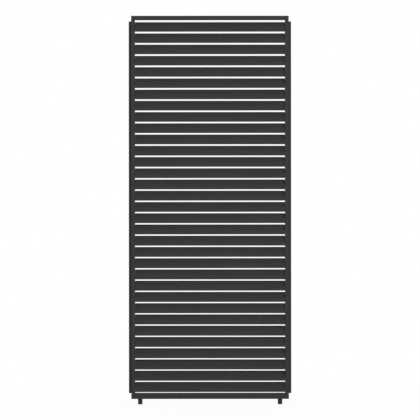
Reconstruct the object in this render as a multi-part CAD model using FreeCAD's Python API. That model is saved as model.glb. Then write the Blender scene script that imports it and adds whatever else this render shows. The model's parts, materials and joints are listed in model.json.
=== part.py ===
import FreeCAD, Part
import math
import os

Vec = FreeCAD.Vector
UP = Vec(0, 0, 1)
ACROSS = Vec(1, 0, 0)
ALONG = 0.99                  # least cosine of an edge that counts as running along a direction

# X runs across the panel, the front faces -Y, and Z = 0 is the floor.
# Lengths are millimetres and angles are degrees.

# Frame
FRAME_WIDTH = 892.0           # across both stiles
FRAME_HEIGHT = 2169.0         # stiles with their end caps
FRAME_DEPTH = 45.0
FRAME_WALL = 1.8
FRAME_EDGE = 1.0              # radius on the long outside edges
STILE_WIDTH = 21.0
TOP_RAIL_HEIGHT = 23.0
BOTTOM_RAIL_HEIGHT = 33.0
BOTTOM_PORT_DROP = 9.0        # top of the bottom rail to its screw ports
PORT_SPACING = 18.0           # front port to back port
PORT_WALL = 1.6

# Side profiles
SIDE_REACH = 14.0             # how far they stand out of the stiles
SIDE_SETBACK = 21.0           # front of the stiles to their fronts
SIDE_BACKSET = 9.7            # back of the stiles to their backs
SIDE_TOP_DROP = 31.0          # top of the frame to their top ends
SIDE_BOTTOM_RISE = 32.0       # bottom of the frame to their bottom ends
SIDE_SCREW_COUNT = 4          # on each side
SIDE_SCREW_MARGIN = 180.0     # end of the profile to the nearest screw
POST_HOLE_COUNT = 4           # on each side
POST_HOLE_MARGIN = 90.0       # end of the profile to the nearest hole
POST_HOLE_RADIUS = 2.75

# Screws
CORNER_SCREW_RADIUS = 2.1
CORNER_SCREW_LENGTH = 19.0
SIDE_SCREW_RADIUS = 1.7
SIDE_SCREW_LENGTH = 9.5
SCREW_HEAD_RATIO = 2.0        # head radius over shank radius
SCREW_HEAD_HEIGHT = 2.3

# Stile end caps
END_CAP_PLATE = 2.0
END_CAP_TAB = 1.6
END_CAP_GRIP = 5.0            # how far the tabs reach into the stile

# Louvres
LOUVRE_COUNT = 33
TOP_SWING_GAP = 6.0           # top rail to the circle that the first blade sweeps
BOTTOM_SWING_GAP = 1.0        # bottom rail to the circle that the last blade sweeps
BLADE_OVERLAP = 2.25          # chord over pitch
BLADE_THICKNESS = 8.0
BLADE_WALL = 1.2
BLADE_CHAMBER = 22.0          # middle chamber, between the two inner webs
BLADE_END_GAP = 0.4           # blade cap to stile
REST_TILT = 34.0              # chord off the vertical, top edge to the back
CLOSED_TILT = 7.0
OPEN_TILT = 90.0
BLADE_CAP_PLATE = 2.5
BLADE_CAP_PLUG = 12.0

# Pivots
JOURNAL_RADIUS = 4.0
JOURNAL_TAIL = 1.4            # journal past the stile's web
BUSH_WALL = 1.4
BUSH_RIM = 1.6                # flange past the sleeve
BUSH_FLANGE = 1.2
BUSH_NOSE = 0.2               # sleeve past the stile's web, towards the blade
DRIVE_SIDE = 5.6              # square end that turns the crank
CRANK_RADIUS = 11.0           # pivot to crank pin
CRANK_THICKNESS = 3.0
CRANK_HUB_RADIUS = 7.0
CRANK_EYE_RADIUS = 4.5
CRANK_PIN_RADIUS = 2.5
CRANK_PIN_HEAD = 1.5
TILT_BAR_WIDTH = 10.0
TILT_BAR_THICKNESS = 2.0
TILT_BAR_END = 10.0           # last hole to the end of the bar

# Feet
FOOT_HEIGHT = 31.0            # floor to the bottom of the frame
FOOT_INSET = 50.0             # side of the frame to the middle of the foot
FOOT_TOP_RADIUS = 13.0
FOOT_TAPER = 0.5
FOOT_EDGE = 0.8
STEM_RADIUS = 4.9
STEM_REACH = 29.0             # stem above the bottom of the frame
STEM_SEAT = 18.0              # stem inside the foot
INSERT_WALL = 2.0
INSERT_LENGTH = 14.0
INSERT_FLANGE = 1.2
INSERT_RIM = 2.0

# Clearances
RUNNING_FIT = 0.05            # radial, turning or screwed pieces
PIN_FIT = 0.2                 # radial, crank pins in the tilt bar
SLIP_FIT = 0.3                # between faces that pass each other
SCREW_PASS = 0.5              # radial, screw through a plain hole

# Levels and planes that follow
half_width = FRAME_WIDTH / 2
half_depth = FRAME_DEPTH / 2
frame_bottom = FOOT_HEIGHT
frame_top = frame_bottom + FRAME_HEIGHT
web_x = half_width - STILE_WIDTH                  # web face beside the blades
web_back_x = web_x + FRAME_WALL                   # web face inside the stile
lip_x = half_width - FRAME_WALL
cavity_half = half_depth - FRAME_WALL
side_front = SIDE_SETBACK - half_depth
side_back = half_depth - SIDE_BACKSET
side_middle = (side_front + side_back) / 2
slot_front = side_front - 2 * SLIP_FIT            # front of the opening between the lips
slot_back = side_back + 2 * SLIP_FIT
side_screw_y = (slot_back + cavity_half) / 2      # middle of the back lip
side_bottom = frame_bottom + SIDE_BOTTOM_RISE
side_top = frame_top - SIDE_TOP_DROP
side_outer = half_width + SIDE_REACH
side_foot_x = lip_x - SLIP_FIT - FRAME_WALL
field_bottom = frame_bottom + BOTTOM_RAIL_HEIGHT
field_top = frame_top - TOP_RAIL_HEIGHT
top_port_z = frame_top - TOP_RAIL_HEIGHT / 2
bottom_port_z = field_bottom - BOTTOM_PORT_DROP
swing_gaps = TOP_SWING_GAP + BOTTOM_SWING_GAP
louvre_pitch = (field_top - field_bottom - swing_gaps - BLADE_OVERLAP) / LOUVRE_COUNT
blade_chord = louvre_pitch + BLADE_OVERLAP
first_pivot_z = field_top - TOP_SWING_GAP - blade_chord / 2
blade_cap_x = web_x - BLADE_END_GAP               # outer face of the blade caps
blade_half = blade_cap_x - BLADE_CAP_PLATE
drive_x = web_back_x + JOURNAL_TAIL
crank_x = drive_x + SLIP_FIT
tilt_bar_x = crank_x + CRANK_THICKNESS + SLIP_FIT
crank_head_x = tilt_bar_x + TILT_BAR_THICKNESS + SLIP_FIT
crank_arm_angle = (CLOSED_TILT + OPEN_TILT) / 2   # off +Y, on an upright blade
bush_bore = JOURNAL_RADIUS + RUNNING_FIT
bush_radius = bush_bore + BUSH_WALL
port_ys = (-PORT_SPACING / 2, PORT_SPACING / 2)   # front port, back port
port_bore = CORNER_SCREW_RADIUS + RUNNING_FIT
driver_hole = CORNER_SCREW_RADIUS * SCREW_HEAD_RATIO + SCREW_PASS
insert_radius = STEM_RADIUS + RUNNING_FIT + INSERT_WALL
foot_x = half_width - FOOT_INSET


def pivot_heights():
    """Heights of the louvre pivots, from the top down."""
    return [first_pivot_z - row * louvre_pitch for row in range(LOUVRE_COUNT)]


def spread_heights(count, margin):
    """Heights spread evenly along a side profile, with a margin at each end."""
    low = side_bottom + margin
    step = (side_top - margin - low) / (count - 1)
    return [low + place * step for place in range(count)]


def side_screw_heights():
    """Heights of the screws that hold a side profile."""
    return spread_heights(SIDE_SCREW_COUNT, SIDE_SCREW_MARGIN)


def post_hole_heights():
    """Heights of the holes that take the screws into a post."""
    return spread_heights(POST_HOLE_COUNT, POST_HOLE_MARGIN)


def mirrored(shape):
    """The same shape on the other side of the panel."""
    return shape.mirror(Vec(0, 0, 0), ACROSS)


def moved(shape, x, y, z):
    """A copy of the shape, shifted."""
    copy = shape.copy()
    copy.translate(Vec(x, y, z))
    return copy


def block(x0, x1, y0, y1, z0, z1):
    """A box between two opposite corners."""
    return Part.makeBox(x1 - x0, y1 - y0, z1 - z0, Vec(x0, y0, z0))


def rod(radius, x0, x1, y=0.0, z=0.0):
    """A round rod across the panel."""
    return Part.makeCylinder(radius, x1 - x0, Vec(x0, y, z), ACROSS)


def post(radius, z0, z1, x=0.0):
    """A round upright post."""
    return Part.makeCylinder(radius, z1 - z0, Vec(x, 0, z0), UP)


def rounded(shape, direction, radius):
    """The shape with its straight edges along one direction rounded."""
    edges = []
    for edge in shape.Edges:
        run = edge.Vertexes[-1].Point - edge.Vertexes[0].Point
        if run.Length > 0 and abs(run.dot(direction)) > ALONG * run.Length:
            edges.append(edge)
    return shape.makeFillet(radius, edges)


def flat_oval(length, width):
    """An upright face in the YZ plane with straight sides and full-round ends."""
    r = width / 2
    s = length / 2 - r
    edges = [
        Part.LineSegment(Vec(0, -r, -s), Vec(0, -r, s)),
        Part.Arc(Vec(0, -r, s), Vec(0, 0, s + r), Vec(0, r, s)),
        Part.LineSegment(Vec(0, r, s), Vec(0, r, -s)),
        Part.Arc(Vec(0, r, -s), Vec(0, 0, -s - r), Vec(0, -r, -s)),
    ]
    return Part.Face(Part.Wire([edge.toShape() for edge in edges]))


def flat_oval_bar(length, width, x0, x1):
    """A flat oval carried across the panel."""
    bar = flat_oval(length, width).extrude(Vec(x1 - x0, 0, 0))
    return moved(bar, x0, 0, 0)


def make_stile():
    """Right stile: a channel with lips, open to the outside, with its holes.

    The back corner screws are driven between the lips, the front ones through holes in the front lip.
    """
    low = frame_bottom + END_CAP_PLATE
    high = frame_top - END_CAP_PLATE
    body = rounded(block(web_x, half_width, -half_depth, half_depth, low, high), UP, FRAME_EDGE)
    cavity = block(web_back_x, lip_x, -cavity_half, cavity_half, low, high)
    slot = block(lip_x, half_width, slot_front, slot_back, low, high)
    holes = [rod(bush_radius + RUNNING_FIT, web_x, web_back_x, 0, z) for z in pivot_heights()]
    for z in (top_port_z, bottom_port_z):
        for y in port_ys:
            holes.append(rod(CORNER_SCREW_RADIUS + SCREW_PASS, web_x, web_back_x, y, z))
        holes.append(rod(driver_hole, lip_x, half_width, port_ys[0], z))
    for z in side_screw_heights():
        holes.append(rod(SIDE_SCREW_RADIUS + SCREW_PASS, lip_x, half_width, side_screw_y, z))
    return body.cut([cavity, slot] + holes)


def make_rail(low, high, port_z):
    """A rail between the stiles: a box with an inner web that carries two screw ports."""
    body = rounded(block(-web_x, web_x, -half_depth, half_depth, low, high), ACROSS, FRAME_EDGE)
    room = block(-web_x, web_x, -cavity_half, cavity_half, low + FRAME_WALL, high - FRAME_WALL)
    web = block(-web_x, web_x, -cavity_half, cavity_half, port_z - PORT_WALL / 2, port_z + PORT_WALL / 2)
    bores = []
    for y in port_ys:
        web = web.fuse(rod(port_bore + PORT_WALL, -web_x, web_x, y, port_z))
        bores.append(rod(port_bore, -web_x, web_x, y, port_z))
    return body.cut(room.cut(web)).cut(bores).removeSplitter()


def make_bottom_rail():
    """The bottom rail, with the holes for the inserts and stems of the feet."""
    rail = make_rail(frame_bottom, field_bottom, bottom_port_z)
    below_web = bottom_port_z - PORT_WALL
    above_web = bottom_port_z + PORT_WALL
    holes = []
    for x in (-foot_x, foot_x):
        holes.append(post(insert_radius + RUNNING_FIT, frame_bottom, frame_bottom + FRAME_WALL, x))
        holes.append(post(STEM_RADIUS + SCREW_PASS, below_web, above_web, x))
    return rail.cut(holes)


def make_side_profile():
    """Right side profile: a hat section whose feet sit behind the lips of the stile."""
    wall = FRAME_WALL
    box = block(side_foot_x, side_outer, side_front, side_back, side_bottom, side_top)
    hat = rounded(box, UP, FRAME_EDGE)
    square_root = block(side_foot_x, half_width, side_front, side_back, side_bottom, side_top)
    end_wall = side_outer - wall
    inside = block(side_foot_x, end_wall, side_front + wall, side_back - wall, side_bottom, side_top)
    reach = cavity_half - SLIP_FIT - side_back
    foot_front = side_front - reach
    foot_back = side_back + reach
    feet = block(side_foot_x, side_foot_x + wall, foot_front, foot_back, side_bottom, side_top)
    holes = [rod(POST_HOLE_RADIUS, end_wall, side_outer, side_middle, z) for z in post_hole_heights()]
    pilot = SIDE_SCREW_RADIUS + RUNNING_FIT
    for z in side_screw_heights():
        holes.append(rod(pilot, side_foot_x, side_foot_x + wall, side_screw_y, z))
    return hat.fuse([square_root, feet]).cut([inside] + holes).removeSplitter()


def make_screw(radius, length):
    """A plain screw on the X axis: the head's seat at X = 0, the shank towards -X."""
    shank = rod(radius, -length, 0)
    head = rod(radius * SCREW_HEAD_RATIO, 0, SCREW_HEAD_HEIGHT)
    return shank.fuse(head)


def make_corner_screws():
    """The screws through the webs of the stiles into the ports of the rails."""
    screw = make_screw(CORNER_SCREW_RADIUS, CORNER_SCREW_LENGTH)
    screws = []
    for z in (top_port_z, bottom_port_z):
        for y in port_ys:
            placed = moved(screw, web_back_x, y, z)
            screws += [placed, mirrored(placed)]
    return Part.makeCompound(screws)


def make_side_screws():
    """The screws through the back lips of the stiles into the side profiles."""
    screw = make_screw(SIDE_SCREW_RADIUS, SIDE_SCREW_LENGTH)
    screws = []
    for z in side_screw_heights():
        placed = moved(screw, half_width, side_screw_y, z)
        screws += [placed, mirrored(placed)]
    return Part.makeCompound(screws)


def make_top_cap():
    """Cap on the top end of the right stile, with two tabs that grip inside."""
    low = frame_top - END_CAP_PLATE
    plate = rounded(block(web_x, half_width, -half_depth, half_depth, low, frame_top), UP, FRAME_EDGE)
    tab_y = cavity_half - RUNNING_FIT
    tab_x0 = web_back_x + SLIP_FIT
    tab_x1 = lip_x - SLIP_FIT
    back = block(tab_x0, tab_x1, tab_y - END_CAP_TAB, tab_y, low - END_CAP_GRIP, low)
    front = block(tab_x0, tab_x1, -tab_y, END_CAP_TAB - tab_y, low - END_CAP_GRIP, low)
    return plate.fuse([back, front])


def make_bottom_cap():
    """The same cap, turned over on the bottom end of the right stile."""
    middle = Vec(0, 0, (frame_bottom + frame_top) / 2)
    return make_top_cap().mirror(middle, UP)


def make_blade():
    """One hollow blade, upright on the X axis, with two inner webs."""
    skin = flat_oval_bar(blade_chord, BLADE_THICKNESS, -blade_half, blade_half)
    thin = BLADE_THICKNESS - 2 * BLADE_WALL
    room = flat_oval_bar(blade_chord - 2 * BLADE_WALL, thin, -blade_half, blade_half)
    webs = []
    for z in (-BLADE_CHAMBER / 2 - BLADE_WALL, BLADE_CHAMBER / 2):
        webs.append(block(-blade_half, blade_half, -thin, thin, z, z + BLADE_WALL))
    return skin.cut(room.cut(webs))


def make_blade_cap(journal_end):
    """Right blade cap: a plate, a plug in the middle chamber and a pivot journal."""
    plate = flat_oval_bar(blade_chord, BLADE_THICKNESS, blade_half, blade_cap_x)
    y = BLADE_THICKNESS / 2 - BLADE_WALL - RUNNING_FIT
    z = BLADE_CHAMBER / 2 - RUNNING_FIT
    plug = block(blade_half - BLADE_CAP_PLUG, blade_half, -y, y, -z, z)
    journal = rod(JOURNAL_RADIUS, blade_cap_x, journal_end)
    return plate.fuse([plug, journal])


def make_drive_cap():
    """The right blade cap with the square end that turns the crank."""
    h = DRIVE_SIDE / 2
    drive = block(drive_x, crank_x + CRANK_THICKNESS, -h, h, -h, h)
    return make_blade_cap(drive_x).fuse(drive)


def link_face(hub_radius, eye_radius, length):
    """A face in the YZ plane round two circles, the eye out along +Y from the hub."""
    lean = math.acos((hub_radius - eye_radius) / length)
    cos, sin = math.cos(lean), math.sin(lean)
    hub_high = Vec(0, hub_radius * cos, hub_radius * sin)
    hub_low = Vec(0, hub_radius * cos, -hub_radius * sin)
    eye_high = Vec(0, length + eye_radius * cos, eye_radius * sin)
    eye_low = Vec(0, length + eye_radius * cos, -eye_radius * sin)
    edges = [
        Part.LineSegment(hub_high, eye_high),
        Part.Arc(eye_high, Vec(0, length + eye_radius, 0), eye_low),
        Part.LineSegment(eye_low, hub_low),
        Part.Arc(hub_low, Vec(0, -hub_radius, 0), hub_high),
    ]
    return Part.Face(Part.Wire([edge.toShape() for edge in edges]))


def make_crank():
    """Crank on the square end of a blade cap, with a headed pin for the tilt bar."""
    arm = link_face(CRANK_HUB_RADIUS, CRANK_EYE_RADIUS, CRANK_RADIUS)
    arm = moved(arm.extrude(Vec(CRANK_THICKNESS, 0, 0)), crank_x, 0, 0)
    arm_end = crank_x + CRANK_THICKNESS
    pin = rod(CRANK_PIN_RADIUS, arm_end, crank_head_x, CRANK_RADIUS)
    head_radius = CRANK_PIN_RADIUS + 2 * PIN_FIT
    head = rod(head_radius, crank_head_x, crank_head_x + CRANK_PIN_HEAD, CRANK_RADIUS)
    crank = arm.fuse([pin, head])
    crank.rotate(Vec(0, 0, 0), ACROSS, crank_arm_angle)
    h = DRIVE_SIDE / 2 + RUNNING_FIT
    return crank.cut(block(crank_x, arm_end, -h, h, -h, h))


def make_louvre():
    """One louvre on the X axis at its rest tilt: blade, two caps and crank."""
    left_cap = mirrored(make_blade_cap(web_back_x + JOURNAL_TAIL))
    louvre = Part.makeCompound([make_blade(), left_cap, make_drive_cap(), make_crank()])
    louvre.rotate(Vec(0, 0, 0), ACROSS, -REST_TILT)
    return louvre


def make_bushes():
    """The bushes of the right stile, pressed into its web with their flanges inside."""
    nose_x = web_x - BUSH_NOSE
    flange_x = web_back_x + BUSH_FLANGE
    sleeve = rod(bush_radius, nose_x, web_back_x)
    flange = rod(bush_radius + BUSH_RIM, web_back_x, flange_x)
    bush = sleeve.fuse(flange).cut(rod(bush_bore, nose_x, flange_x))
    return Part.makeCompound([moved(bush, 0, 0, z) for z in pivot_heights()])


def make_tilt_bar():
    """The bar that joins the crank pins, at the rest tilt."""
    turn = math.radians(crank_arm_angle - REST_TILT)
    pin_y = CRANK_RADIUS * math.cos(turn)
    pin_rise = CRANK_RADIUS * math.sin(turn)
    heights = pivot_heights()
    length = heights[0] - heights[-1] + 2 * TILT_BAR_END
    middle = (heights[0] + heights[-1]) / 2 + pin_rise
    end_x = tilt_bar_x + TILT_BAR_THICKNESS
    bar = moved(flat_oval_bar(length, TILT_BAR_WIDTH, tilt_bar_x, end_x), 0, pin_y, middle)
    hole = CRANK_PIN_RADIUS + PIN_FIT
    return bar.cut([rod(hole, tilt_bar_x, end_x, pin_y, z + pin_rise) for z in heights])


def make_foot():
    """Right foot: a slightly tapered round pad with a blind bore for its stem."""
    top = frame_bottom - INSERT_FLANGE - SLIP_FIT
    base = FOOT_TOP_RADIUS - FOOT_TAPER
    pad = Part.makeCone(base, FOOT_TOP_RADIUS, top, Vec(foot_x, 0, 0), UP)
    sole = [edge for edge in pad.Edges if edge.BoundBox.ZMax < FOOT_EDGE]
    pad = pad.makeFillet(FOOT_EDGE, sole)
    return pad.cut(post(STEM_RADIUS + RUNNING_FIT, top - STEM_SEAT, top, foot_x))


def make_foot_stem():
    """Threaded stem of the right foot, as a plain rod."""
    low = frame_bottom - INSERT_FLANGE - SLIP_FIT - STEM_SEAT
    return post(STEM_RADIUS, low, frame_bottom + STEM_REACH, foot_x)


def make_foot_insert():
    """Threaded insert of the right foot: a sleeve with a flange under the bottom rail."""
    low = frame_bottom - INSERT_FLANGE
    sleeve = post(insert_radius, frame_bottom, frame_bottom + INSERT_LENGTH, foot_x)
    flange = post(insert_radius + INSERT_RIM, low, frame_bottom, foot_x)
    bore = post(STEM_RADIUS + RUNNING_FIT, low, frame_bottom + INSERT_LENGTH, foot_x)
    return sleeve.fuse(flange).cut(bore)


def make_nodes():
    """Every node of the panel by name."""
    nodes = {
        "top_rail": make_rail(field_top, frame_top, top_port_z),
        "bottom_rail": make_bottom_rail(),
        "corner_screws": make_corner_screws(),
        "side_profile_screws": make_side_screws(),
        "tilt_bar": make_tilt_bar(),
    }
    pairs = {
        "stile": make_stile(),
        "side_profile": make_side_profile(),
        "top_cap": make_top_cap(),
        "bottom_cap": make_bottom_cap(),
        "bushes": make_bushes(),
        "foot": make_foot(),
        "foot_stem": make_foot_stem(),
        "foot_insert": make_foot_insert(),
    }
    for name, shape in pairs.items():
        nodes["right_" + name] = shape
        nodes["left_" + name] = mirrored(shape)
    louvre = make_louvre()
    for row, z in enumerate(pivot_heights(), start=1):
        nodes["louvre_%02d" % row] = moved(louvre, 0, 0, z)
    return nodes


os.makedirs("parts", exist_ok=True)
for node, solid in make_nodes().items():
    solid.exportStep("parts/%s.step" % node)
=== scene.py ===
"""Dresses the louvred pergola panel and sets it in a plain white studio.

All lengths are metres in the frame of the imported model: X across the panel, the front
towards -Y, Z up from the floor.
"""
import json
import logging
import math
from abc import ABC, abstractmethod
from dataclasses import dataclass, field
from enum import Enum
from typing import Any, Callable, Iterable, Optional, Union

import bmesh
import bpy
from mathutils import Matrix, Vector


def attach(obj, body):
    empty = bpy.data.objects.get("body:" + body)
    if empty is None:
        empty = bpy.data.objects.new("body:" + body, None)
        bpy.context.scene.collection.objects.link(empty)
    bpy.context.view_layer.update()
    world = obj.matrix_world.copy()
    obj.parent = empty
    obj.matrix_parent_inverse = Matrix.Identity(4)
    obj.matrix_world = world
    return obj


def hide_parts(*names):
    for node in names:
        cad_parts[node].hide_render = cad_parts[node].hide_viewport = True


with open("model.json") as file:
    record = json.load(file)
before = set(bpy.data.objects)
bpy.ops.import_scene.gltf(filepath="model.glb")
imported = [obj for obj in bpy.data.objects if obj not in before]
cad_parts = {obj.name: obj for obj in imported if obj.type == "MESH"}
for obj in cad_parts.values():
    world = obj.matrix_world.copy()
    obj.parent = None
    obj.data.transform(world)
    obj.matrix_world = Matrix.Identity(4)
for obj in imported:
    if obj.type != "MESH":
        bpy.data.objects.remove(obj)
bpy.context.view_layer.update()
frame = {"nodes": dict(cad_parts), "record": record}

LOG = logging.getLogger("louvred_panel")
IMAGE_PIXELS = 420
SENSOR = 36.0
RIGHT_ANGLE = math.pi / 2
LAID_ACROSS = (RIGHT_ANGLE, 0.0, RIGHT_ANGLE)    # local X, Y, Z become Y, Z, X
TURNED_ACROSS = (0.0, RIGHT_ANGLE, 0.0)          # local Z becomes X
ROUND_STEPS = (0.0, math.pi / 6, math.pi / 3, RIGHT_ANGLE)
PANEL_MIDDLE = (0.0, 0.0, 1.1)                   # where the lamps are aimed
WHITE = (1.0, 1.0, 1.0, 1.0)
LOUVRE_COUNT = 33
WEB_BACK = 0.4268                                # outer face of a stile's web, from the middle
NOISE_ROUGHNESS = 0.55
CREASE = math.radians(32)                        # least angle of an edge that stays crisp
FULL_ROUND = 0.4995                              # edge radius over thickness, just under a half
ROUND_CORNERS = 28
EDGE_CORNERS = 9
THREAD_CORNERS = 18                              # on one turn
RIDGE_CORNERS = 3

Colour = tuple[float, float, float]
Point = tuple[float, float, float]
Feed = Any                                       # a plain value, a Link or several Links


class Side(Enum):
    """The two sides of the panel, seen from the front, with the sign of X there."""

    LEFT = -1
    RIGHT = 1

    def node(self, piece: str) -> str:
        """Name of a piece on this side."""
        return f"{self.name.lower()}_{piece}"

    @property
    def turn(self) -> float:
        """Turn about Z that brings a right-hand piece to this side."""
        return 0.0 if self is Side.RIGHT else math.pi


class Link:
    """An output socket whose arithmetic adds Math nodes to its tree."""

    def __init__(self, graph: "Graph", socket: bpy.types.NodeSocket) -> None:
        """Keeps the socket and the graph that it belongs to."""
        self.graph = graph
        self.socket = socket

    def _math(self, operation: str, left: Feed, right: Feed = 0.0) -> "Link":
        """Adds one Math node to the graph."""
        return self.graph.add("ShaderNodeMath", {"operation": operation}, {0: left, 1: right})

    def __add__(self, other: Feed) -> "Link":
        """Sum with a value or a link."""
        return self._math("ADD", self, other)

    def __radd__(self, other: Feed) -> "Link":
        """Sum with a value on the left."""
        return self._math("ADD", other, self)

    def __sub__(self, other: Feed) -> "Link":
        """Difference from a value or a link."""
        return self._math("SUBTRACT", self, other)

    def __rsub__(self, other: Feed) -> "Link":
        """Difference of a value on the left."""
        return self._math("SUBTRACT", other, self)

    def __mul__(self, other: Feed) -> "Link":
        """Product with a value or a link."""
        return self._math("MULTIPLY", self, other)

    def __rmul__(self, other: Feed) -> "Link":
        """Product with a value on the left."""
        return self._math("MULTIPLY", other, self)

    def __truediv__(self, other: Feed) -> "Link":
        """Quotient by a value or a link."""
        return self._math("DIVIDE", self, other)

    def __neg__(self) -> "Link":
        """The value with its sign turned."""
        return self._math("MULTIPLY", self, -1.0)

    def sign(self) -> "Link":
        """Minus one, nought or one."""
        return self._math("SIGN", self)

    def cosine(self) -> "Link":
        """Cosine of an angle in radians."""
        return self._math("COSINE", self)

    def angle_to(self, other: "Link") -> "Link":
        """Angle of the point whose height is this value and whose width is the other."""
        return self._math("ARCTAN2", self, other)

    def limited(self) -> "Link":
        """The value held between nought and one."""
        return self.graph.add("ShaderNodeClamp", {}, {"Value": self})

    def output(self, name: str) -> "Link":
        """Another output of the same node."""
        return Link(self.graph, self.socket.node.outputs[name])


class Graph:
    """Adds nodes to a node tree and feeds their sockets."""

    def __init__(self, tree: bpy.types.NodeTree) -> None:
        """Keeps the tree that is being built."""
        self.tree = tree

    def feed(self, socket: bpy.types.NodeSocket, value: Feed) -> None:
        """Sets a socket to a value, or links it.

        Args:
            socket: the input socket.
            value: a plain value, a Link, or a list of Links for a socket that takes several.
        """
        if isinstance(value, Link):
            self.tree.links.new(value.socket, socket)
        elif isinstance(value, list):
            for link in value:
                self.tree.links.new(link.socket, socket)
        else:
            socket.default_value = value

    def add(self, kind: str, settings: Optional[dict[str, Any]] = None,
            feeds: Optional[dict[Union[int, str], Feed]] = None,
            output: Union[int, str] = 0) -> Link:
        """Adds one node, sets it up and feeds its sockets.

        Args:
            kind: the node's type.
            settings: the node's own properties, set before its sockets.
            feeds: values or links by socket name or number.
            output: the output that the result stands for.

        Returns:
            The chosen output socket.
        """
        node = self.tree.nodes.new(kind)
        for name, value in (settings or {}).items():
            setattr(node, name, value)
        for key, value in (feeds or {}).items():
            self.feed(node.inputs[key], value)
        return Link(self, node.outputs[output])

    def vector(self, x: Feed = 0.0, y: Feed = 0.0, z: Feed = 0.0) -> Link:
        """A vector from three values or links."""
        return self.add("ShaderNodeCombineXYZ", {}, {"X": x, "Y": y, "Z": z})

    def noise(self, place: Link, scale: float, detail: float = 2.0) -> Link:
        """Soft noise between nought and one, with its scale in cycles per metre."""
        feeds = {"Vector": place, "Scale": scale, "Detail": detail, "Roughness": NOISE_ROUGHNESS}
        return self.add("ShaderNodeTexNoise", {"noise_dimensions": "3D"}, feeds, "Fac")

    def stretched(self, place: Link, scale: Point) -> Link:
        """The place scaled by axis, so that a pattern runs along one of them."""
        return self.add("ShaderNodeMapping", {}, {"Vector": place, "Scale": scale})

    def blend(self, amount: Link, low: Feed, high: Feed) -> Link:
        """A colour between two others."""
        feeds = {0: amount, 6: opaque(low), 7: opaque(high)}
        settings = {"data_type": "RGBA", "blend_type": "MIX"}
        return self.add("ShaderNodeMix", settings, feeds, 2)


def opaque(colour: Feed) -> Feed:
    """A colour with alpha 1; a Link is left as it is."""
    return colour if isinstance(colour, Link) else (*colour, 1.0)


def scaled(colour: Colour, amount: float) -> Colour:
    """A colour made lighter or darker."""
    return (colour[0] * amount, colour[1] * amount, colour[2] * amount)


@dataclass(frozen=True)
class Surface:
    """What changes over a surface: its colour, its roughness and its relief."""

    colour: Link
    roughness: Link
    relief: Link


@dataclass(frozen=True)
class Finish(ABC):
    """A finish with a colour, a mean roughness and a relief depth."""

    name: str
    colour: Colour
    roughness: float
    relief_depth: float
    metallic: float = 0.0
    specular: float = 0.5

    @abstractmethod
    def surface(self, graph: Graph, place: Link) -> Surface:
        """Lays out the finish over the surface.

        Args:
            graph: the material's graph.
            place: object coordinates in metres.

        Returns:
            The colour, roughness and relief.
        """

    def material(self) -> bpy.types.Material:
        """Makes the material once and returns it on every call.

        Returns:
            The material.
        """
        if self.name in bpy.data.materials:
            return bpy.data.materials[self.name]
        material = bpy.data.materials.new(self.name)
        material.use_nodes = True
        graph = Graph(material.node_tree)
        shader = material.node_tree.nodes["Principled BSDF"]
        surface = self.surface(graph, graph.add("ShaderNodeTexCoord", {}, {}, "Object"))
        bump = {"Strength": 1.0, "Distance": self.relief_depth, "Height": surface.relief}
        graph.feed(shader.inputs["Base Color"], surface.colour)
        graph.feed(shader.inputs["Roughness"], surface.roughness)
        graph.feed(shader.inputs["Normal"], graph.add("ShaderNodeBump", {}, bump))
        graph.feed(shader.inputs["Metallic"], self.metallic)
        graph.feed(shader.inputs["Specular IOR Level"], self.specular)
        return material


@dataclass(frozen=True)
class PowderCoat(Finish):
    """Fine-textured powder coat: a sandy grain over a faint orange peel."""

    grain: float = 1100.0
    peel: float = 290.0
    cloud: float = 2.6
    speckle: float = 2.2

    def surface(self, graph: Graph, place: Link) -> Surface:
        """Grain and slow clouds in the tone, grain and peel in the relief."""
        grain = graph.noise(place, self.grain)
        peel = graph.noise(place, self.peel, 1.0)
        cloud = graph.noise(place, self.cloud, 4.0)
        sand = 0.5 + (grain - 0.5) * self.speckle
        tone = (sand * 0.6 + peel * 0.15 + cloud * 0.25).limited()
        colour = graph.blend(tone, scaled(self.colour, 0.72), scaled(self.colour, 1.28))
        roughness = self.roughness + (grain - 0.5) * 0.20 + (cloud - 0.5) * 0.10
        return Surface(colour, roughness, grain * 0.7 + peel * 0.3)


@dataclass(frozen=True)
class MouldedPlastic(Finish):
    """Moulded plastic: a spark-eroded grain and faint flow marks."""

    grain: float = 900.0
    flow: float = 24.0

    def surface(self, graph: Graph, place: Link) -> Surface:
        """Grain in the relief, flow marks in the tone and the roughness."""
        grain = graph.noise(place, self.grain)
        flow = graph.noise(graph.stretched(place, (1.0, 1.0, 0.35)), self.flow, 3.0)
        tone = (grain * 0.4 + flow * 0.6).limited()
        colour = graph.blend(tone, scaled(self.colour, 0.75), scaled(self.colour, 1.25))
        roughness = self.roughness + (grain - 0.5) * 0.12 + (flow - 0.5) * 0.14
        return Surface(colour, roughness, grain)


@dataclass(frozen=True)
class PlatedSteel(Finish):
    """Plated steel: fine turning marks under a mottled passivation."""

    tint: Colour = (0.62, 0.58, 0.47)
    mottle: float = 240.0
    marks: float = 1800.0

    def surface(self, graph: Graph, place: Link) -> Surface:
        """Mottle in the colour, marks in the roughness and the relief."""
        mottle = graph.noise(place, self.mottle, 3.0)
        marks = graph.noise(graph.stretched(place, (0.15, 1.0, 1.0)), self.marks)
        colour = graph.blend(mottle.limited(), self.colour, self.tint)
        roughness = self.roughness + (marks - 0.5) * 0.18 + (mottle - 0.5) * 0.12
        return Surface(colour, roughness, marks)


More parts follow.
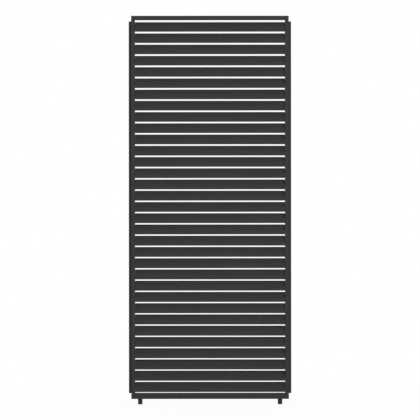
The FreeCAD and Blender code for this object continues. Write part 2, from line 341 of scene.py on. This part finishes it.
@dataclass(frozen=True)
class MillAluminium(Finish):
    """Bare extruded aluminium: die lines along Z and a faint grey bloom."""

    lines: Point = (950.0, 950.0, 3.0)
    bloom: float = 14.0

    def surface(self, graph: Graph, place: Link) -> Surface:
        """Die lines in the roughness and the relief, bloom in the tone."""
        lines = graph.noise(graph.stretched(place, self.lines), 1.0)
        bloom = graph.noise(place, self.bloom, 3.0)
        tone = (lines * 0.6 + bloom * 0.4).limited()
        colour = graph.blend(tone, scaled(self.colour, 0.85), scaled(self.colour, 1.12))
        roughness = self.roughness + (lines - 0.5) * 0.25 + (bloom - 0.5) * 0.10
        return Surface(colour, roughness, lines)


FRAME_COAT = PowderCoat("anthracite_frame", (0.0462, 0.0447, 0.0450), 0.85, 0.00009, specular=0.05)
# The blades wear the frame's powder coat, painted about a tenth lighter: painted light that offsets
# the shade the blades cast on one another.
LIGHTENED_BLADE_COAT = PowderCoat("anthracite_blade", (0.0512, 0.0496, 0.0499), 0.85, 0.00009, specular=0.05)
CAP_PLASTIC = MouldedPlastic("dark_cap_plastic", (0.034, 0.033, 0.033), 0.62, 0.00006, specular=0.3)
BUSH_NYLON = MouldedPlastic("black_bush_nylon", (0.018, 0.018, 0.019), 0.42, 0.00003)
CRANK_NYLON = MouldedPlastic("grey_crank_nylon", (0.14, 0.14, 0.145), 0.5, 0.00004)
FOOT_PLASTIC = MouldedPlastic("black_foot_plastic", (0.0275, 0.0266, 0.0266), 0.6, 0.00007,
                              specular=0.15)
SCREW_STEEL = PlatedSteel("plated_screw_steel", (0.50, 0.50, 0.49), 0.36, 0.00003, 1.0,
                          tint=(0.58, 0.57, 0.53))
ZINC_STEEL = PlatedSteel("zinc_steel", (0.52, 0.53, 0.54), 0.38, 0.00003, 1.0)
BAR_METAL = MillAluminium("mill_aluminium", (0.62, 0.62, 0.63), 0.38, 0.00004, 1.0)


class ShapeTree(Graph):
    """A Geometry Nodes tree with named inputs for its sizes."""

    def __init__(self, name: str) -> None:
        """Starts a tree with a geometry input and a geometry output."""
        super().__init__(bpy.data.node_groups.new(name, "GeometryNodeTree"))
        self.identifiers: dict[str, str] = {}
        face = self.tree.interface
        face.new_socket("Geometry", in_out="OUTPUT", socket_type="NodeSocketGeometry")
        face.new_socket("Geometry", in_out="INPUT", socket_type="NodeSocketGeometry")
        self.source = self.tree.nodes.new("NodeGroupInput")
        self.target = self.tree.nodes.new("NodeGroupOutput")

    @property
    def points(self) -> Link:
        """The geometry of the object that the tree is put on."""
        return Link(self, self.source.outputs["Geometry"])

    def size(self, name: str, kind: str = "NodeSocketFloat") -> Link:
        """Adds a named input.

        Args:
            name: the input's name.
            kind: its socket type.

        Returns:
            The input as a link.
        """
        item = self.tree.interface.new_socket(name, in_out="INPUT", socket_type=kind)
        self.identifiers[name] = item.identifier
        return Link(self, self.source.outputs[name])

    def place(self, shape: Link, shift: Feed = (0.0, 0.0, 0.0),
              turn: Feed = (0.0, 0.0, 0.0)) -> Link:
        """The shape turned about the origin and then shifted."""
        feeds = {"Geometry": shape, "Translation": shift, "Rotation": turn}
        return self.add("GeometryNodeTransform", {}, feeds)

    def join(self, *shapes: Link) -> Link:
        """Several shapes as one."""
        return self.add("GeometryNodeJoinGeometry", {}, {"Geometry": list(reversed(shapes))})

    def rod(self, radius: Feed, start: Feed, end: Feed, y: Feed = 0.0) -> Link:
        """A closed round rod across the panel, from start to end along X."""
        feeds = {"Vertices": ROUND_CORNERS, "Radius": radius, "Depth": end - start}
        rod = self.add("GeometryNodeMeshCylinder", {"fill_type": "NGON"}, feeds)
        return self.place(rod, self.vector((start + end) * 0.5, y), TURNED_ACROSS)

    def flat_oval(self, height: Feed, width: Feed, start: Feed, end: Feed) -> Link:
        """A closed bar across the panel with straight sides and full-round edges."""
        feeds = {"Width": width, "Height": height}
        box = self.add("GeometryNodeCurvePrimitiveQuadrilateral", {"mode": "RECTANGLE"}, feeds)
        feeds = {"Curve": box, "Count": EDGE_CORNERS, "Radius": width * FULL_ROUND,
                 "Limit Radius": True}
        outline = self.add("GeometryNodeFilletCurve", {"mode": "POLY"}, feeds)
        feeds = {"Start": self.vector(z=start), "End": self.vector(z=end)}
        path = self.add("GeometryNodeCurvePrimitiveLine", {"mode": "POINTS"}, feeds)
        feeds = {"Curve": path, "Profile Curve": outline, "Fill Caps": True}
        return self.place(self.add("GeometryNodeCurveToMesh", {}, feeds), turn=LAID_ACROSS)

    def ring(self, inner: Feed, outer: Feed, start: Feed, end: Feed) -> Link:
        """A closed ring with square edges round the X axis."""
        feeds = {"Resolution": ROUND_CORNERS, "Radius": (inner + outer) * 0.5}
        path = self.add("GeometryNodeCurvePrimitiveCircle", {"mode": "RADIUS"}, feeds)
        feeds = {"Width": outer - inner, "Height": end - start}
        profile = self.add("GeometryNodeCurvePrimitiveQuadrilateral", {"mode": "RECTANGLE"}, feeds)
        feeds = {"Curve": path, "Profile Curve": profile}
        ring = self.add("GeometryNodeCurveToMesh", {}, feeds)
        return self.place(ring, self.vector((start + end) * 0.5), TURNED_ACROSS)

    def thread(self, radius: Feed, depth: Feed, pitch: Feed, length: Feed) -> Link:
        """A pointed ridge that winds up round the Z axis from the origin."""
        feeds = {"Resolution": THREAD_CORNERS, "Rotations": length / pitch,
                 "Start Radius": radius, "End Radius": radius, "Height": length}
        path = self.add("GeometryNodeCurveSpiral", {}, feeds)
        feeds = {"Resolution": RIDGE_CORNERS, "Radius": depth}
        profile = self.add("GeometryNodeCurvePrimitiveCircle", {"mode": "RADIUS"}, feeds)
        feeds = {"Curve": path, "Profile Curve": profile, "Fill Caps": True}
        return self.add("GeometryNodeCurveToMesh", {}, feeds)

    def on_points(self, points: Link, shape: Link, turn: Feed) -> Link:
        """A copy of the shape on every point, with a turn for each."""
        feeds = {"Points": points, "Instance": shape, "Rotation": turn}
        return self.add("GeometryNodeInstanceOnPoints", {}, feeds)

    def finished(self, shape: Link, finish: Finish) -> Link:
        """The shape with soft rounds and crisp edges, made real and given its finish.

        Args:
            shape: the shape, instances among it.
            finish: what it is finished in.

        Returns:
            The finished geometry.
        """
        real = self.add("GeometryNodeRealizeInstances", {}, {"Geometry": shape})
        soft = {"Geometry": real, "Shade Smooth": True}
        smooth = self.add("GeometryNodeSetShadeSmooth", {"domain": "FACE"}, soft)
        angle = self.add("GeometryNodeInputMeshEdgeAngle")
        settings = {"data_type": "FLOAT", "operation": "GREATER_THAN"}
        sharp = self.add("FunctionNodeCompare", settings, {0: angle, 1: CREASE})
        crisp = {"Geometry": smooth, "Selection": sharp, "Shade Smooth": False}
        edged = self.add("GeometryNodeSetShadeSmooth", {"domain": "EDGE"}, crisp)
        feeds = {"Geometry": edged, "Material": finish.material()}
        return self.add("GeometryNodeSetMaterial", {}, feeds)

    def end(self, shape: Link) -> None:
        """Feeds the tree's output."""
        self.feed(self.target.inputs["Geometry"], shape)

    def make(self, name: str, sizes: dict[str, Any],
             seats: Iterable[Point] = ()) -> bpy.types.Object:
        """Runs the tree once and keeps the result as a plain mesh.

        Args:
            name: the new object's name.
            sizes: a value for each named input.
            seats: points for the object that the tree is put on.

        Returns:
            The object, with no modifier left on it.
        """
        start = bpy.data.meshes.new(name + "_seats")
        start.from_pydata(list(seats), [], [])
        piece = bpy.data.objects.new(name, start)
        bpy.context.scene.collection.objects.link(piece)
        modifier = piece.modifiers.new("shape", "NODES")
        modifier.node_group = self.tree
        for label, value in sizes.items():
            modifier[self.identifiers[label]] = value
        graph = bpy.context.evaluated_depsgraph_get()
        mesh = bpy.data.meshes.new_from_object(piece.evaluated_get(graph))
        mesh.name = name
        piece.modifiers.remove(modifier)
        piece.data = mesh
        bpy.data.meshes.remove(start)
        return piece


def settle(piece: bpy.types.Object, body: str, slot: str, *nodes: str) -> None:
    """Sets a piece on its body and lets it stand for CAD nodes.

    Args:
        piece: the finished object.
        body: the CAD body that it moves with.
        slot: the record's material slot; not used.
        nodes: the CAD nodes that it stands for.
    """
    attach(piece, body)
    if nodes:
        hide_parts(*nodes)
    LOG.info("%s rides on %s, %d faces", piece.name, body, len(piece.data.polygons))


def dress(node: str, finish: Finish) -> None:
    """Gives a CAD node its finish."""
    for place in frame["nodes"][node].material_slots:
        place.material = finish.material()
    LOG.info("%s is finished in %s", node, finish.name)


def joint_place(name: str) -> Vector:
    """Where a joint of the model sits at rest."""
    joints = frame["record"]["behaviour"]["joints"]
    return Vector(next(joint["pos_m"] for joint in joints if joint["name"] == name))


@dataclass
class Frame:
    """Stiles, rails, side profiles and end caps, which keep their CAD shapes."""

    coated: tuple[str, ...] = ("top_rail", "bottom_rail")
    coated_pairs: tuple[str, ...] = ("stile", "side_profile")
    capped_pairs: tuple[str, ...] = ("top_cap", "bottom_cap")

    def dress(self) -> None:
        """Coats the extrusions and the caps, and finishes the tilt bar and the inserts."""
        for node in self.coated:
            dress(node, FRAME_COAT)
        for side in Side:
            for piece in self.coated_pairs:
                dress(side.node(piece), FRAME_COAT)
            for piece in self.capped_pairs:
                dress(side.node(piece), CAP_PLASTIC)
            dress(side.node("foot_insert"), ZINC_STEEL)
        dress("tilt_bar", BAR_METAL)


@dataclass
class LouvreSet:
    """The tilting louvres: hollow blades with end caps, journals and cranks."""

    count: int = LOUVRE_COUNT
    half_length: float = 0.4221
    chord: float = 0.066
    thickness: float = 0.008
    tilt: float = math.radians(34.0)
    cap_plate: float = 0.0025
    cap_inset: float = 0.0003
    cap_step: float = 0.0006
    journal_radius: float = 0.004
    journal_end: float = 0.4282
    drive_side: float = 0.0056
    crank_start: float = 0.4285
    crank_end: float = 0.4315
    crank_radius: float = 0.011
    crank_arm: float = math.radians(48.5)
    hub_radius: float = 0.007
    eye_radius: float = 0.0045
    pin_radius: float = 0.0025
    pin_neck: float = 0.4341
    pin_end: float = 0.4356
    head_radius: float = 0.0029

    def cap(self, tree: ShapeTree, half: Link, chord: Link, thick: Link) -> Link:
        """The right end cap: a plate just inside the blade's outline, a raised face, a journal.

        Args:
            tree: the louvre's tree.
            half: half of the blade's length.
            chord: the blade's height.
            thick: the blade's thickness.

        Returns:
            The cap.
        """
        face = half + (self.cap_plate - self.cap_step)
        end = half + self.cap_plate
        plate = tree.flat_oval(chord - self.cap_inset, thick - self.cap_inset, half, face)
        rim = self.cap_inset + 2 * self.cap_step
        raised = tree.flat_oval(chord - rim, thick - rim, face - self.cap_step, end)
        journal = tree.rod(self.journal_radius, end - self.cap_step, self.journal_end)
        return tree.join(plate, raised, journal)

    def crank(self, tree: ShapeTree) -> Link:
        """The crank: an arm round hub and eye, a headed pin and the square that drives it.

        Args:
            tree: the louvre's tree.

        Returns:
            The crank, turned to its place on an upright blade.
        """
        hub = tree.rod(self.hub_radius, self.crank_start, self.crank_end)
        eye = tree.rod(self.eye_radius, self.crank_start, self.crank_end, self.crank_radius)
        arm = tree.add("GeometryNodeConvexHull", {}, {"Geometry": tree.join(hub, eye)})
        pin = tree.rod(self.pin_radius, self.crank_end, self.pin_neck, self.crank_radius)
        head = tree.rod(self.head_radius, self.pin_neck, self.pin_end, self.crank_radius)
        lever = tree.place(tree.join(arm, pin, head), turn=(self.crank_arm, 0.0, 0.0))
        reach = self.crank_end - self.journal_end
        size = (reach, self.drive_side, self.drive_side)
        square = tree.add("GeometryNodeMeshCube", {}, {"Size": size})
        middle = (self.journal_end + reach / 2, 0.0, 0.0)
        return tree.join(lever, tree.place(square, middle))

    def tree(self) -> ShapeTree:
        """One louvre as a tree whose inputs are its sizes, its tilt and its height.

        Returns:
            The tree.
        """
        tree = ShapeTree("louvre")
        half = tree.size("Half Length")
        chord = tree.size("Chord")
        thick = tree.size("Thickness")
        lean = tree.vector(-tree.size("Tilt"))
        lift = tree.vector(z=tree.size("Pivot Height"))
        blade = tree.flat_oval(chord, thick, -half, half)
        two_points = tree.add("GeometryNodeMeshLine", {"mode": "OFFSET"},
                              {"Count": 2, "Offset": (0.0, 0.0, 0.0)})
        index = tree.add("GeometryNodeInputIndex")
        about = tree.vector(z=index * math.pi)
        caps = tree.on_points(two_points, self.cap(tree, half, chord, thick), about)
        parts = ((blade, LIGHTENED_BLADE_COAT), (caps, CAP_PLASTIC), (self.crank(tree), CRANK_NYLON))
        set_up = [tree.finished(tree.place(part, lift, lean), finish) for part, finish in parts]
        tree.end(tree.join(*set_up))
        return tree

    def build(self) -> None:
        """Makes one mesh for each louvre, at the pivot that its joint gives."""
        tree = self.tree()
        for row in range(1, self.count + 1):
            node = f"louvre_{row:02d}"
            sizes = {"Half Length": self.half_length, "Chord": self.chord, "Tilt": self.tilt,
                     "Thickness": self.thickness, "Pivot Height": joint_place(node + "_tilt").z}
            settle(tree.make(node + "_blade", sizes), node, "blade_coat", node)


@dataclass
class BushRows:
    """The flanged nylon bushes in the webs of the stiles."""

    bore: float = 0.00405
    sleeve_radius: float = 0.00545
    flange_radius: float = 0.00705
    nose_face: float = 0.4248
    web_back: float = WEB_BACK
    flange_end: float = 0.428
    louvres: int = LOUVRE_COUNT

    def tree(self) -> ShapeTree:
        """A row of bushes up one stile.

        Returns:
            The tree.
        """
        tree = ShapeTree("bush_row")
        bore = tree.size("Bore")
        flange = tree.ring(bore, tree.size("Flange Radius"), self.web_back, self.flange_end)
        sleeve = tree.ring(bore, tree.size("Sleeve Radius"), self.nose_face, self.web_back)
        first = tree.vector(z=tree.size("First Height"))
        step = tree.vector(z=-tree.size("Pitch"))
        count = tree.size("Count", "NodeSocketInt")
        feeds = {"Count": count, "Start Location": first, "Offset": step}
        line = tree.add("GeometryNodeMeshLine", {"mode": "OFFSET"}, feeds)
        turn = tree.vector(z=tree.size("Turn"))
        tree.end(tree.finished(tree.on_points(line, tree.join(flange, sleeve), turn), BUSH_NYLON))
        return tree

    def build(self) -> None:
        """Makes the row of each side."""
        tree = self.tree()
        first = joint_place("louvre_01_tilt").z
        pitch = first - joint_place("louvre_02_tilt").z
        for side in Side:
            sizes = {"Bore": self.bore, "Flange Radius": self.flange_radius, "Count": self.louvres,
                     "Sleeve Radius": self.sleeve_radius, "First Height": first, "Pitch": pitch,
                     "Turn": side.turn}
            node = side.node("bushes")
            settle(tree.make(node + "_rings", sizes), "frame", "bush_nylon", node)


@dataclass
class ScrewKind:
    """One kind of screw: its sizes, its seats and the node that it stands for."""

    node: str
    shank_radius: float
    length: float
    pitch: float
    seats: list[Point] = field(default_factory=list)


@dataclass
class Screws:
    """Pan-head screws with a six-lobed recess and a threaded shank."""

    head_height: float = 0.0023
    head_ratio: float = 2.0
    crown_ratio: float = 0.68
    recess_ratio: float = 0.62
    recess_depth: float = 0.0014
    lobes: int = 6
    lobe_depth: float = 0.13
    thread_ratio: float = 0.14
    head_corners: int = 36
    shank_corners: int = 20
    web_back: float = WEB_BACK
    port_y: float = 0.009
    port_heights: tuple[float, ...] = (0.055, 2.1885)
    lip_face: float = 0.446
    lip_y: float = 0.01705
    lip_low: float = 0.243
    lip_high: float = 1.989
    lip_count: int = 4

    def corner_seats(self) -> list[Point]:
        """Where the heads sit on the webs of the stiles."""
        return [(side.value * self.web_back, y, z) for side in Side
                for y in (-self.port_y, self.port_y) for z in self.port_heights]

    def lip_seats(self) -> list[Point]:
        """Where the heads sit on the back lips of the stiles."""
        step = (self.lip_high - self.lip_low) / (self.lip_count - 1)
        return [(side.value * self.lip_face, self.lip_y, self.lip_low + step * place)
                for side in Side for place in range(self.lip_count)]

    def head(self, tree: ShapeTree, radius: Link) -> Link:
        """A tapered head on the Z axis with a six-lobed recess in its crown.

        Args:
            tree: the screw's tree.
            radius: the head's radius.

        Returns:
            The head, its seat at the origin.
        """
        feeds = {"Vertices": self.head_corners, "Radius Top": radius * self.crown_ratio,
                 "Radius Bottom": radius, "Depth": self.head_height}
        cone = tree.add("GeometryNodeMeshCone", {"fill_type": "NGON"}, feeds)
        feeds = {"Mesh": cone, "Selection": cone.output("Top"), "Offset Scale": 0.0,
                 "Individual": False}
        inset = tree.add("GeometryNodeExtrudeMesh", {"mode": "FACES"}, feeds)
        crown = inset.output("Top")
        feeds = {"Geometry": inset, "Selection": crown, "Scale": self.recess_ratio}
        mouth = tree.add("GeometryNodeScaleElements", {"domain": "FACE"}, feeds)
        spot = tree.add("GeometryNodeInputPosition")
        split = tree.add("ShaderNodeSeparateXYZ", {}, {"Vector": spot})
        around = split.output("Y").angle_to(split)
        wave = 1.0 + (around * float(self.lobes)).cosine() * self.lobe_depth
        place = tree.vector(split * wave, split.output("Y") * wave, split.output("Z"))
        feeds = {"Geometry": mouth, "Selection": crown, "Position": place}
        lobed = tree.add("GeometryNodeSetPosition", {}, feeds)
        feeds = {"Mesh": lobed, "Selection": crown, "Offset Scale": -self.recess_depth,
                 "Individual": False}
        return tree.add("GeometryNodeExtrudeMesh", {"mode": "FACES"}, feeds)

    def tree(self) -> ShapeTree:
        """Screws on the seats of an object, their heads away from the middle of the panel.

        Returns:
            The tree.
        """
        tree = ShapeTree("pan_screws")
        radius = tree.size("Shank Radius")
        length = tree.size("Length")
        pitch = tree.size("Pitch")
        depth = radius * self.thread_ratio
        core = radius - depth
        feeds = {"Vertices": self.shank_corners, "Radius": core, "Depth": length}
        shank = tree.add("GeometryNodeMeshCylinder", {"fill_type": "NGON"}, feeds)
        shank = tree.place(shank, tree.vector(z=length * -0.5))
        ridge = tree.place(tree.thread(core, depth, pitch, length), tree.vector(z=-length))
        screw = tree.join(self.head(tree, radius * self.head_ratio), shank, ridge)
        spot = tree.add("GeometryNodeInputPosition")
        across = tree.add("ShaderNodeSeparateXYZ", {}, {"Vector": spot})
        outward = tree.vector(y=across.sign() * RIGHT_ANGLE)
        tree.end(tree.finished(tree.on_points(tree.points, screw, outward), SCREW_STEEL))
        return tree

    def build(self) -> None:
        """Makes one mesh for the screws of each kind."""
        tree = self.tree()
        kinds = (ScrewKind("corner_screws", 0.0021, 0.019, 0.0016, self.corner_seats()),
                 ScrewKind("side_profile_screws", 0.0017, 0.0095, 0.0014, self.lip_seats()))
        for kind in kinds:
            sizes = {"Shank Radius": kind.shank_radius, "Length": kind.length, "Pitch": kind.pitch}
            piece = tree.make(kind.node + "_lobed", sizes, kind.seats)
            settle(piece, "frame", "screw_steel", kind.node)


@dataclass
class Feet:
    """The two screw-in feet: a fluted pad and a threaded stem."""

    x: float = 0.396
    sole_radius: float = 0.0125
    top_radius: float = 0.013
    height: float = 0.0295
    bore_radius: float = 0.00495
    bore_depth: float = 0.018
    sole_edge: float = 0.0008
    top_edge: float = 0.0006
    sole_line: float = 0.0042
    line_depth: float = 0.0003
    line_half: float = 0.0003
    flute_low: float = 0.0075
    flute_high: float = 0.0255
    flutes: int = 22
    flute_rows: int = 6
    flute_depth: float = 0.00035
    steps: int = 176
    crease: float = math.radians(38)
    stem_low: float = 0.0115
    stem_high: float = 0.060
    stem_radius: float = 0.0049
    stem_pitch: float = 0.0015
    stem_ridge: float = 0.0005

    def side_radius(self, z: float) -> float:
        """Radius of the tapered side at a height."""
        return self.sole_radius + (self.top_radius - self.sole_radius) * z / self.height

    def profile(self) -> list[tuple[float, float]]:
        """Half of the pad's section, from the middle of the sole to the bottom of the bore.

        Returns:
            Radius and height of each point.
        """
        line, low, high = self.sole_line, self.sole_edge, self.top_edge
        rounds = [(self.sole_radius - low * (1 - math.sin(a)), low * (1 - math.cos(a)))
                  for a in ROUND_STEPS]
        rings = (line - self.line_half, line, line + self.line_half)
        waist = [(self.side_radius(z) - (self.line_depth if z == line else 0.0), z) for z in rings]
        rise = (self.flute_high - self.flute_low) / self.flute_rows
        body = [self.flute_low + rise * place for place in range(self.flute_rows + 1)]
        sides = [(self.side_radius(z), z) for z in body]
        shoulder = [(self.top_radius - high * (1 - math.cos(a)),
                     self.height - high * (1 - math.sin(a))) for a in ROUND_STEPS]
        floor = self.height - self.bore_depth
        bore = [(self.bore_radius, self.height), (self.bore_radius, floor), (0.0, floor)]
        return [(0.0, 0.0), *rounds, *waist, *sides, *shoulder, *bore]

    def fluted(self, radius: float, z: float, angle: float) -> float:
        """Radius with the finger flutes cut in, where the flutes run."""
        if not self.flute_low < z < self.flute_high or radius < self.sole_radius / 2:
            return radius
        return radius - self.flute_depth * (0.5 - 0.5 * math.cos(self.flutes * angle))

    def pad(self, side: Side) -> bpy.types.Object:
        """Turns the pad's section round its axis.

        Args:
            side: which foot it is.

        Returns:
            The closed pad.
        """
        mesh = bpy.data.meshes.new(side.node("foot_pad"))
        shape = bmesh.new()
        rings = []
        for radius, z in self.profile():
            turns = self.steps if radius else 1
            ring = []
            for turn in range(turns):
                angle = 2 * math.pi * turn / self.steps
                reach = self.fluted(radius, z, angle)
                spot = (side.value * self.x + reach * math.cos(angle), reach * math.sin(angle), z)
                ring.append(shape.verts.new(spot))
            rings.append(ring)
        for low, high in zip(rings, rings[1:]):
            for turn in range(self.steps):
                after = (turn + 1) % self.steps
                corners = [low[turn % len(low)], low[after % len(low)],
                           high[after % len(high)], high[turn % len(high)]]
                shape.faces.new(dict.fromkeys(corners))
        bmesh.ops.recalc_face_normals(shape, faces=shape.faces)
        shape.to_mesh(mesh)
        shape.free()
        mesh.materials.append(FOOT_PLASTIC.material())
        mesh.shade_smooth()
        mesh.set_sharp_from_angle(angle=self.crease)
        piece = bpy.data.objects.new(mesh.name, mesh)
        bpy.context.scene.collection.objects.link(piece)
        return piece

    def stem_tree(self) -> ShapeTree:
        """A threaded stem, standing on the origin's axis.

        Returns:
            The tree.
        """
        tree = ShapeTree("foot_stem")
        radius, length = tree.size("Radius"), tree.size("Length")
        pitch, ridge = tree.size("Pitch"), tree.size("Ridge")
        core = radius - ridge
        feeds = {"Vertices": ROUND_CORNERS, "Radius": core, "Depth": length}
        rod = tree.add("GeometryNodeMeshCylinder", {"fill_type": "NGON"}, feeds)
        rod = tree.place(rod, tree.vector(z=length * 0.5))
        stem = tree.join(rod, tree.thread(core, ridge, pitch, length - ridge))
        spot = tree.vector(tree.size("Across"), 0.0, tree.size("Low"))
        tree.end(tree.finished(tree.place(stem, spot), ZINC_STEEL))
        return tree

    def build(self) -> None:
        """Makes both pads and both stems."""
        tree = self.stem_tree()
        for side in Side:
            body = side.node("foot")
            settle(self.pad(side), body, "foot_plastic", body)
            sizes = {"Radius": self.stem_radius, "Length": self.stem_high - self.stem_low,
                     "Pitch": self.stem_pitch, "Ridge": self.stem_ridge,
                     "Across": side.value * self.x, "Low": self.stem_low}
            stem = tree.make(side.node("foot_stem_thread"), sizes)
            settle(stem, body, "zinc_steel", side.node("foot_stem"))


def shown_rays(graph: Graph) -> Link:
    """One for a ray that shows the background: to the camera, mirrored or let through."""
    path = graph.add("ShaderNodeLightPath", {}, {}, "Is Camera Ray")
    return (path + path.output("Is Glossy Ray") + path.output("Is Transmission Ray")).limited()


@dataclass(frozen=True)
class Softbox:
    """A wide, low area lamp aimed at a point."""

    name: str
    place: Point
    width: float
    height: float
    watts: float
    aim: Point = PANEL_MIDDLE

    def hang(self) -> None:
        """Adds the lamp to the scene."""
        lamp = bpy.data.lights.new(self.name, "AREA")
        lamp.shape = "RECTANGLE"
        lamp.size = self.width
        lamp.size_y = self.height
        lamp.energy = self.watts
        holder = bpy.data.objects.new(self.name, lamp)
        holder.location = self.place
        way = Vector(self.aim) - Vector(self.place)
        holder.rotation_euler = way.to_track_quat("-Z", "Y").to_euler()
        bpy.context.scene.collection.objects.link(holder)


@dataclass
class Studio:
    """White studio: floor, world, lamps and the camera at the photograph's angle."""

    floor_side: float = 24.0
    floor_colour: Colour = (0.86, 0.86, 0.855)
    floor_shade: float = 0.99
    floor_cloud: float = 1.5
    floor_roughness: float = 0.8
    floor_lift: float = 0.93
    shadow_reach: float = 2.6
    ambient: float = 0.06
    camera_place: Point = (0.0, -18.8, 1.1005)
    camera_roll: float = math.radians(-0.04)
    metres_per_pixel: float = 0.0056667
    sight: float = 100.0
    lamps: tuple[Softbox, ...] = (
        Softbox("key_lamp", (3.3, -9.7, 4.2), 3.0, 1.6, 395.0),
        Softbox("fill_lamp", (-0.4, -9.4, 5.4), 3.0, 1.6, 242.0),
        Softbox("back_key_lamp", (-4.4, 9.0, 3.4), 4.0, 1.6, 430.0),
        Softbox("back_fill_lamp", (4.0, 9.2, 3.4), 4.0, 1.6, 280.0),
        Softbox("left_lamp", (-9.6, 0.0, 3.4), 1.6, 1.6, 260.0),
        Softbox("right_lamp", (9.6, 0.0, 3.4), 1.6, 1.6, 260.0),
        Softbox("top_lamp", (0.0, -2.8, 7.0), 3.0, 2.0, 34.0),
        Softbox("crown_lamp", (0.0, 0.25, 4.4), 1.2, 0.3, 22.0),
    )

    def floor(self) -> None:
        """Lays the pale floor, which shows nearly white and keeps a faint shadow."""
        half = self.floor_side / 2
        mesh = bpy.data.meshes.new("studio_floor")
        corners = [(-half, -half, 0.0), (half, -half, 0.0), (half, half, 0.0), (-half, half, 0.0)]
        mesh.from_pydata(corners, [], [(0, 1, 2, 3)])
        material = bpy.data.materials.new("pale_floor")
        material.use_nodes = True
        graph = Graph(material.node_tree)
        shader = material.node_tree.nodes["Principled BSDF"]
        place = graph.add("ShaderNodeTexCoord", {}, {}, "Object")
        cloud = graph.noise(place, self.floor_cloud, 3.0)
        shaded = scaled(self.floor_colour, self.floor_shade)
        colour = graph.blend(cloud, shaded, self.floor_colour)
        graph.feed(shader.inputs["Base Color"], colour)
        graph.feed(shader.inputs["Roughness"], self.floor_roughness)
        glow = graph.add("ShaderNodeEmission", {}, {"Color": WHITE, "Strength": 1.0})
        middle = graph.add("ShaderNodeVectorMath", {"operation": "LENGTH"}, {0: place}, "Value")
        far = (middle / self.shadow_reach).limited()
        lift = self.floor_lift + (1.0 - self.floor_lift) * far * far
        surface = Link(graph, shader.outputs["BSDF"])
        feeds = {0: shown_rays(graph) * lift, 1: surface, 2: glow}
        mixed = graph.add("ShaderNodeMixShader", {}, feeds)
        graph.feed(material.node_tree.nodes["Material Output"].inputs["Surface"], mixed)
        mesh.materials.append(material)
        piece = bpy.data.objects.new("studio_floor", mesh)
        bpy.context.scene.collection.objects.link(piece)

    def world(self) -> None:
        """White where it is seen or mirrored, and a softer light elsewhere."""
        world = bpy.data.worlds.new("white_studio")
        bpy.context.scene.world = world
        world.use_nodes = True
        graph = Graph(world.node_tree)
        soft = graph.add("ShaderNodeBackground", {}, {"Color": WHITE, "Strength": self.ambient})
        plain = graph.add("ShaderNodeBackground", {}, {"Color": WHITE, "Strength": 1.0})
        mixed = graph.add("ShaderNodeMixShader", {}, {0: shown_rays(graph), 1: soft, 2: plain})
        graph.feed(world.node_tree.nodes["World Output"].inputs["Surface"], mixed)

    def camera(self) -> None:
        """Sets up the distant, level camera."""
        eye = bpy.data.cameras.new("photo_camera")
        eye.sensor_fit = "HORIZONTAL"
        eye.sensor_width = SENSOR
        eye.lens = SENSOR * -self.camera_place[1] / (self.metres_per_pixel * IMAGE_PIXELS)
        eye.clip_end = self.sight
        holder = bpy.data.objects.new("photo_camera", eye)
        holder.location = self.camera_place
        level = Matrix.Rotation(RIGHT_ANGLE, 3, "X") @ Matrix.Rotation(self.camera_roll, 3, "Z")
        holder.rotation_euler = level.to_euler()
        bpy.context.scene.collection.objects.link(holder)
        bpy.context.scene.camera = holder

    def build(self) -> None:
        """Sets up the whole studio."""
        bpy.context.scene.view_settings.view_transform = "Standard"
        self.floor()
        self.world()
        self.camera()
        for lamp in self.lamps:
            lamp.hang()


def write_sizes() -> None:
    """Brings the view layer up to date."""
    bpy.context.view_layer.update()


def main() -> None:
    """Builds the panel's pieces in order, then the studio."""
    logging.basicConfig(level=logging.INFO, format="%(name)s: %(message)s")
    steps: tuple[Callable[[], None], ...] = (
        Frame().dress, LouvreSet().build, BushRows().build, Screws().build, Feet().build,
        Studio().build, write_sizes,
    )
    for step in steps:
        step()


if __name__ == "__main__":
    main()
